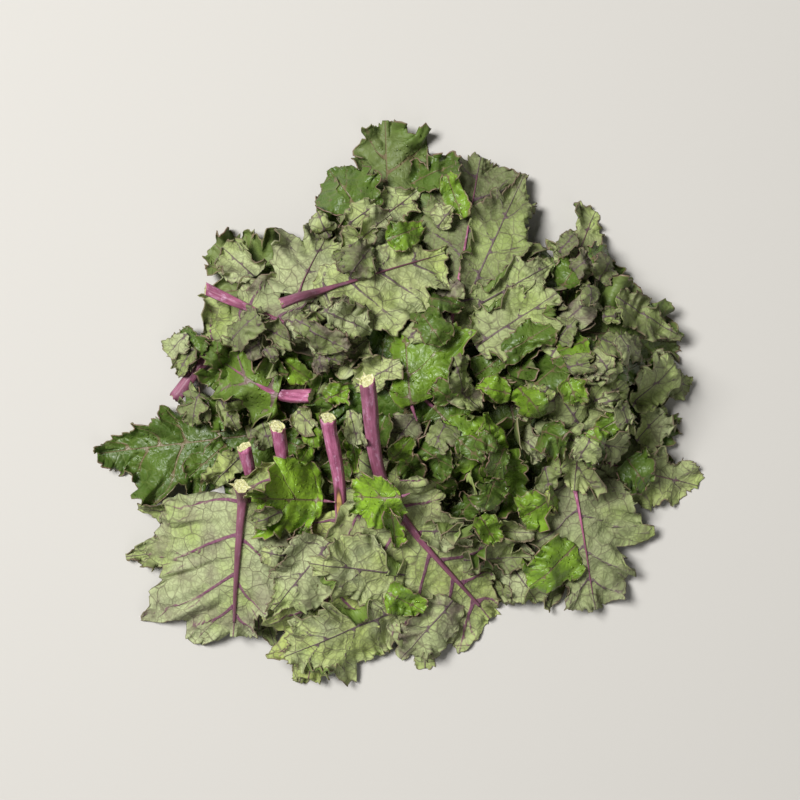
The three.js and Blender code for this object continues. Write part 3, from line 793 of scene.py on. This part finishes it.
def stem_middle(leaf, sheet, k, at, radius):
    """A stem's middle, which is the solid's on the stalk and raised on the fine blade."""
    solid = corners(f"{leaf.name}_stem")
    there, _, left, half = leaf.rib(np.arange(-leaf.steps, leaf.rows).astype(float))
    middles = [height_at(solid, place) for place in there + left * half[:, None] + shift]
    rib = sheet.places[:, sheet.middle]
    x, y, z = (np.interp(k, sheet.k, rib[:, n]) for n in range(3))
    raised = z - leaf.up * (0.3 + 0.55 * radius)
    z = mix(through(np.array(middles), k + leaf.steps), raised, step(k, -0.6, 1.0))
    return np.column_stack([mix(at + shift, np.stack([x, y], 1), step(k, 0, 1)[:, None]), z])


def stem_radius(leaf, k, radius):
    """A midrib is slimmer than its solid, and most so on a small leaf."""
    slim = np.interp(leaf.girth, (SLIGHT, 0.75, 1), (0.4, 0.6, 0.95))
    thin = mix(0.4, 0.9, step(leaf.girth, 0.8, 1))
    radius = radius * 0.95 * mix(1, slim, step(k, -1, 3)) * mix(1, thin, step(k, 0, leaf.rows - 1))
    if leaf.girth <= SLIGHT:
        radius = radius * 0.6 * mix(0.25, 1, step(k, -leaf.steps, 0))
    return radius


def directions(line, left):
    """The ways along, across and up from a stem's middle."""
    along = np.gradient(line, axis=0)
    along /= np.linalg.norm(along, axis=1)[:, None]
    across = np.column_stack([left, 0 * line[:, 2]])
    across -= along * np.sum(across * along, 1)[:, None]
    across /= np.linalg.norm(across, axis=1)[:, None]
    return along, across, np.cross(along, across)


def ribbed(number, line, across, upright, radius, run):
    """Rings round a stem's middle, ribbed lengthwise and a little uneven."""
    ridges = 1 + 0.05 * np.cos(6 * TURN + number) + 0.03 * np.sin(9 * TURN + run * 0.05)
    ridges = ridges * (1 + 0.04 * crumple(run, 0, 22, number + 31)) * radius[:, None]
    sideways = across[:, None] * (ridges * np.cos(TURN))[..., None]
    return line[:, None] + sideways + upright[:, None] * (ridges * np.sin(TURN) * 0.95)[..., None]


def torn(number, rings, middle, along, radius):
    """Tears the first ring to a ragged rim, and gives rings of the lower, crumbly pith in it."""
    slant = 0.35 * radius * np.cos(TURN[0] - TAU * chance(number, 1, 9))
    spoke = AROUND * TURN[0] / TAU % AROUND // 1  # in places two are one by rounding
    rim = (slant + mix(-0.5, 0.9, chance(number, spoke, 9)) * radius * 0.3)[:, None]
    rings[0] -= along * rim
    pith = []
    for share, lift in PITH:
        whim = chance(number, np.arange(AROUND + 1) % AROUND, share)
        rough = lift * radius * mix(0.3, 1.7, whim)
        deep = (slant * share + rough * min(1, share * 4))[:, None]
        pith.append(mix(middle, rings[0] + along * rim, share) - along * deep)
    return np.array(pith)


def close_up(mesh):
    """Joins the points that meet and fills the far end."""
    shape = bmesh.new()
    shape.from_mesh(mesh)
    bmesh.ops.remove_doubles(shape, verts=shape.verts, dist=1e-6)
    end = [edge for edge in shape.edges if edge.is_boundary]
    bmesh.ops.holes_fill(shape, edges=end, sides=0)
    bmesh.ops.recalc_face_normals(shape, faces=shape.faces)
    shape.to_mesh(mesh)
    shape.free()
    mesh.shade_smooth()


def fine_stem(leaf, sheet):
    """Makes the piece in place of a solid stem, and gives the rings of its skin."""
    number = leaf.number
    on_stalk = np.arange(-leaf.steps * STALK_CUTS, 0) / STALK_CUTS
    on_blade = np.arange((leaf.rows - 1) * RIB_CUTS + 1) / RIB_CUTS
    k = np.concatenate([on_stalk, on_blade])
    at, _, left, radius = leaf.rib(k)
    line = stem_middle(leaf, sheet, k, at, radius)
    radius = stem_radius(leaf, k, radius)
    along, across, upright = directions(line, left)
    legs = np.linalg.norm(np.diff(line, axis=0), axis=1)
    run = np.concatenate([[0], np.cumsum(legs)])[:, None]
    rings = ribbed(number, line, across, upright, radius, run)
    pith = torn(number, rings, line[0], along[0], radius[0])
    end = line[0], -along[0], across[0], upright[0], radius[0]
    shreds = [shred(number * 9 + n, *end) for n in range(SHREDDED.get(number, 0))]
    whole = np.concatenate([pith, rings])
    whole[..., 2] = np.maximum(whole[..., 2], 0.3)  # it doesn't quite touch the table
    mesh = mesh_from_grids(f"{leaf.name}_fine_stem", [whole, *shreds])

    before = ((len(pith), 0), (0, 0))
    after = sum(grid.shape[0] * grid.shape[1] for grid in shreds)

    def on_skin(values):
        """Values at the rings, and zero on the pith and the shreds."""
        return np.pad(np.pad(values + 0 * TURN, before).ravel(), (0, after))

    girths = np.pad(radius, before[0], "edge")[:, None] * TURN
    lengths = np.pad(run, before) + 50 * number + 0 * TURN  # no two stems have the same streaks
    flat = np.stack([girths, lengths], -1).reshape(-1, 2)
    lay_out(mesh, "round", np.pad(flat, ((0, after), (0, 0))))
    fading = on_skin(step(k, 0, leaf.rows)[:, None])
    note(mesh, "fading", np.maximum(fading, 0.8) if leaf.girth <= SLIGHT else fading)
    beside = (TURN - SCAR_TURN) * radius.max() / SCAR_WIDTH
    beyond = (run - SCARS.get(number, -99)) / SCAR_LENGTH
    note(mesh, "scar", on_skin(np.exp(-(beside**2) - beyond**2)))
    note(mesh, "bloom", leaf.bloom)
    finishes = np.ones(len(mesh.polygons), int)
    finishes[len(pith) * AROUND : (len(whole) - 1) * AROUND] = 0
    mesh.polygons.foreach_set("material_index", finishes)
    close_up(mesh)
    mesh.materials.append(stalk)
    mesh.materials.append(cut_stalk)
    piece = added(f"{leaf.name}_fine_stem", mesh)
    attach(piece, "root")
    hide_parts(f"{leaf.name}_stem")
    return rings


# ---- Loose lobes ----
# Kale leaves are so ruffled that lobes of them fold, tear and stand up between their neighbours.
# These small pieces of blade fill the hollows of the heap, and a few lie on top of it.

# side that looks up, how waxy, flushed and fresh; below zero a lobe takes the deep green instead,
# partly its darker tone and partly painted shade in the hollows of the heap
TINTS = {
    "bright": ("upper", 0, 0, 0.75),
    "deep": ("upper", 0.1, 0.1, -0.5),
    "grey": ("under", 0.9, 0.3, 0.1),
    "pale": ("under", 0.85, 0.1, 0.4),
    "soft": ("under", 0.5, 0.15, 0.1),
    "flushed": ("under", 0.6, 1, 0),
    "dusky": ("under", 0.1, 1, -0.7),
    "olive": ("under", 0.15, 0.2, -0.5),
}
# tint, start and tip in plan, half the width and how high the lobe stands
IN_THE_HEAP = [
    ("deep", (43, -56), (31, -70), 10, 8), ("bright", (44, -36), (27, -13), 15, 14),
    ("deep", (10, -44), (30, -51), 12, 8), ("deep", (6, -24), (28, -37), 13, 9),
    ("flushed", (8, -9), (-5, -27), 10, 10), ("flushed", (26, 11), (44, -5), 10, 12),
    ("grey", (60, -16), (80, -31), 12, 12), ("bright", (53, -44), (48, -10), 9, 20),
    ("grey", (46, -51), (51, -67), 7, 12), ("soft", (100, -14), (80, 12), 15, 14),
    ("deep", (74, 8), (92, 23), 10, 14), ("deep", (66, 12), (74, 39), 11, 16),
    ("flushed", (84, 24), (100, 46), 11, 14), ("deep", (92, 64), (102, 80), 9, 12),
    ("flushed", (92, 44), (109, 59), 8, 14), ("soft", (108, 16), (124, 27), 8, 14),
    ("bright", (119, 10), (138, 20), 9, 14), ("grey", (138, 2), (156, 24), 14, 12),
    ("bright", (132, -4), (110, -17), 11, 16), ("soft", (92, -22), (126, -27), 12, 14),
    ("grey", (136, -24), (152, -8), 12, 10), ("deep", (130, -34), (142, -50), 12, 8),
    ("deep", (42, 13), (58, 25), 8, 12), ("grey", (4, 34), (24, 52), 13, 10),
    ("flushed", (16, 50), (32, 66), 10, 14), ("pale", (-40, 18), (-20, 33), 11, 14),
    ("pale", (-26, 7), (-2, 20), 10, 12), ("bright", (-78, 31), (-52, 12), 9, 16),
    ("deep", (-56, -6), (-36, 8), 12, 10), ("deep", (-92, -4), (-112, -10), 12, 10),
    ("olive", (-110, -2), (-128, -8), 10, 12), ("olive", (-118, 24), (-134, 26), 8, 10),
    ("pale", (-102, 26), (-64, 41), 10, 12), ("deep", (-102, -26), (-122, -44), 12, 10),
    ("pale", (-92, -32), (-108, -48), 9, 12), ("deep", (-72, -22), (-52, -30), 12, 10),
    ("grey", (-30, -30), (-12, -44), 12, 10), ("deep", (-64, 14), (-84, 20), 10, 10),
    ("grey", (-84, 70), (-103, 88), 13, 10), ("grey", (-99, -73), (-149, -64), 12, 5),
    ("grey", (-97, -84), (-157, -92), 14, 5), ("grey", (52, -78), (78, -116), 20, 4),
    ("olive", (-86, -110), (-75, -142), 13, 4), ("olive", (38, -98), (61, -118), 14, 3),
    ("deep", (-24, 92), (-46, 118), 14, 6), ("deep", (6, 126), (32, 136), 11, 6),
]
ON_TOP = [
    ("bright", (-42, 0), (-30, 6), 6, 8), ("bright", (-48, -16), (-56, -34), 8, 10),
    ("bright", (-28, -20), (-25, -40), 5, 20), ("pale", (-29, -6), (-24, -24), 6, 20),
    ("bright", (-51, -8), (-49, -26), 6, 18), ("bright", (-5, -62), (-3, -82), 8, 6),
    ("deep", (-60, -92), (-50, -110), 10, 6), ("olive", (-66, -62), (-81, -68), 8, 6),
    ("grey", (-40, -80), (-70, -116), 18, 4), ("pale", (2, -100), (-46, -92), 24, 5),
    ("grey", (12, -74), (72, -77), 13, 3), ("olive", (36, -92), (72, -91), 11, 3),
    ("flushed", (30, -116), (2, -150), 15, 3), ("olive", (41, 64), (69, 125), 18, 3),
    ("soft", (44, 54), (84, 76), 19, 5), ("soft", (42, 30), (84, 57), 21, 6),
    ("olive", (122, 58), (161, 38), 12, 5), ("pale", (-4, -122), (-62, -146), 27, 5),
    ("bright", (-8, -110), (12, -121), 9, 5), ("bright", (26, 129), (35, 105), 6, 12),
    ("pale", (21, 99), (29, 109), 6, 10), ("bright", (88, -54), (70, -67), 12, 10),
    ("bright", (101, -84), (76, -106), 14, 10), ("bright", (45, -66), (53, -80), 7, 10),
    ("deep", (-17, 98), (-40, 132), 18, 5), ("pale", (-30, 100), (-15, 110), 8, 8),
    ("grey", (-32, 84), (-8, 104), 11, 9), ("dusky", (-28, 69), (-17, 85), 9, 10),
    ("bright", (-8, 90), (11, 99), 8, 9), ("grey", (-62, 44), (-44, 32), 10, 10),
    ("grey", (-40, 48), (-18, 38), 9, 9), ("dusky", (-58, 44), (-38, 34), 10, 8),
    ("dusky", (-84, 44), (-62, 33), 10, 8), ("dusky", (-50, 38), (-30, 28), 8, 12),
    ("olive", (-96, 34), (-80, 46), 9, 10), ("olive", (-120, 30), (-130, 15), 6, 5),
    # The deep lobe from 58, 26 is partly painted shade: dark green where the heap has a shaded hollow
    # among real dark crumples.
    ("grey", (-124, 38), (-136, 27), 6, 5), ("deep", (58, 26), (82, 40), 10, 8),
    ("soft", (132, -4), (155, 19), 15, 5), ("pale", (-60, -6), (-50, -15), 6, 7),
]
# middle of a crowd of curled lobes, how far it spreads, how many and how big they are, their tints
CROWDS_IN_THE_HEAP = [
    ((66, -26), 28, 5, 1, ("deep", "deep", "olive")),
    ((100, 0), 26, 7, 0.9, ("soft", "deep", "olive", "soft")),
    ((132, 16), 24, 7, 0.9, ("grey", "bright", "olive")),
    ((94, 70), 20, 8, 0.85, ("deep", "olive", "olive", "dusky")),
    ((70, 12), 20, 4, 0.9, ("deep", "soft", "bright")),
    ((30, -12), 18, 5, 0.9, ("deep", "olive", "deep")),
    ((-70, 14), 30, 7, 1, ("deep", "olive", "bright")),
    ((-112, 8), 18, 5, 1, ("deep", "olive", "olive")),
    ((0, 66), 26, 5, 1, ("grey", "deep", "olive")),
    ((-16, -32), 20, 5, 0.9, ("bright", "pale", "deep")),
]
CROWDS_ON_TOP = [
    ((-76, 38), 11, 9, 0.5, ("dusky", "dusky", "olive")),
    ((-42, 36), 14, 15, 0.5, ("dusky", "dusky", "dusky", "grey")),
    ((-34, 88), 14, 4, 0.7, ("dusky", "pale", "grey")),
    ((-58, -92), 12, 4, 0.7, ("pale", "olive", "deep")),
    ((112, 42), 14, 4, 0.75, ("olive", "soft", "bright")),
    ((86, 20), 14, 3, 0.75, ("olive", "bright")),
    ((118, -22), 16, 3, 0.8, ("soft", "soft", "bright")),
]
LOBE_ROWS = 7
FIRST_ABOVE = 18  # the first leaf that lies over the lobes in the heap


def loose_lobe(number, ceiling, tint, start, tip, half, stands):
    face, *looks = TINTS[tint]
    sides = half * mix(0.8, 1.2, chance(number, 1, 2)), half * mix(0.8, 1.2, chance(number, 3, 4))
    broad = step(half, 12, 18)
    frill = mix(1.1, 1.8, chance(number, 7, 8)) * mix(1, 0.45, broad)
    frill = frill * (1.4 if tint == "dusky" else 1)
    beyond = np.array(start) + (np.array(start) - tip) * 0.2
    girth, roll = mix(0.3, 0.6, step(half, 9, 20)), mix(0, 1.1, chance(number, 9, 1))
    lobe = Leaf(number, face, beyond, start, tip, sides, LOBE_ROWS, girth, *looks, frill, roll)
    lobe.loose, lobe.ceiling = True, ceiling
    even = evened(widened(floor, np.maximum), 3)
    share = np.arange(LOBE_ROWS + 1)[:, None] / LOBE_ROWS
    t = np.abs(np.array([*SIDE_COLUMNS, *SIDE_COLUMNS[::-1]]))
    cup = mix(-0.4, 0.9, chance(number, 5, 6)) * half * mix(1, 0.2, broad)
    heights = read(even, plan_rows(lobe)) + stands * np.sin(share * np.pi * 0.75) + cup * t**2
    return Sheet(lobe, heights)


def crowded(crowds, first):
    """Rows of lobes that lie all ways round the middles of some crowds."""
    for seed, (middle, spread, many, size, tints) in enumerate(crowds, first):
        for n in range(many):
            a, b, c, d, e, f = (chance(seed, n, m) for m in range(6))
            turn, away = 2.4 * n + TAU * a, spread * np.sqrt((n + 0.5) / many)
            start = np.array(middle) + [away * np.cos(turn), away * np.sin(turn)]
            length, way = size * mix(12, 22, b), turn + mix(-1.4, 1.4, c)
            tip = start + [length * np.cos(way), length * np.sin(way)]
            yield tints[int(d * len(tints))], start, tip, size * mix(6, 11, e), size * mix(8, 20, f)


def lobes(name, rows, first, ceiling):
    """One piece of loose lobes. Their numbers, from first on, are what their chances hang on."""
    sheets = []
    for number, row in enumerate(rows, first):
        sheets.append(loose_lobe(number, ceiling, *row))
        sheets[-1].settle()
    blade_piece(name, sheets, [])


for leaf in leaves:
    if leaf.number == FIRST_ABOVE:
        roof = leaves[FIRST_ABOVE - 1].ceiling
        lobes("lobes_in_the_heap", IN_THE_HEAP, 100, roof)
        lobes("small_lobes", crowded(CROWDS_IN_THE_HEAP, 300), 400, roof)
    settle_on_floor(fine_stem(leaf, leaf_blade(leaf)), 0)
open_air = np.full(SIDE * SIDE, float(HEAD_ROOM))
lobes("small_lobes_on_top", crowded(CROWDS_ON_TOP, 320), 500, open_air)
lobes("lobes_on_top", ON_TOP, 200, open_air)

# ---- The table, the light and the camera ----
# A plain pale table top under soft light from the upper left, seen from straight above.

shape = bmesh.new()
bmesh.ops.create_grid(shape, x_segments=1, y_segments=1, size=3)
table_mesh = bpy.data.meshes.new("table")
shape.to_mesh(table_mesh)
shape.free()
plain = Finish("table_top")
table_mesh.materials.append(plain.finished(Base_Color=paint("c2bfb9"), Roughness=0.8))
added("table", table_mesh)

for name, place, size, power in (
    ("key", (-1.16, 0.6, 2.5), 0.9, 112),
    ("fill", (0.5, -0.9, 1.3), 1.2, 3),
):
    lamp = bpy.data.lights.new(name, "AREA")
    lamp.size = size
    lamp.energy = power
    holder = added(name, lamp)
    holder.location = place
    holder.rotation_euler = (-holder.location).to_track_quat("-Z", "Y").to_euler()

world = bpy.data.worlds.new("room")
world.use_nodes = True
background = world.node_tree.nodes["Background"]
background.inputs["Color"].default_value = (1, 0.99, 0.96, 1)
background.inputs["Strength"].default_value = 0.085
bpy.context.scene.world = world
bpy.context.scene.view_settings.view_transform = "Standard"

camera = added("camera", bpy.data.cameras.new("camera"))
camera.data.lens, camera.data.sensor_width = 77.6, 36
camera.location = (0, 0, 1.02)
bpy.context.scene.camera = camera
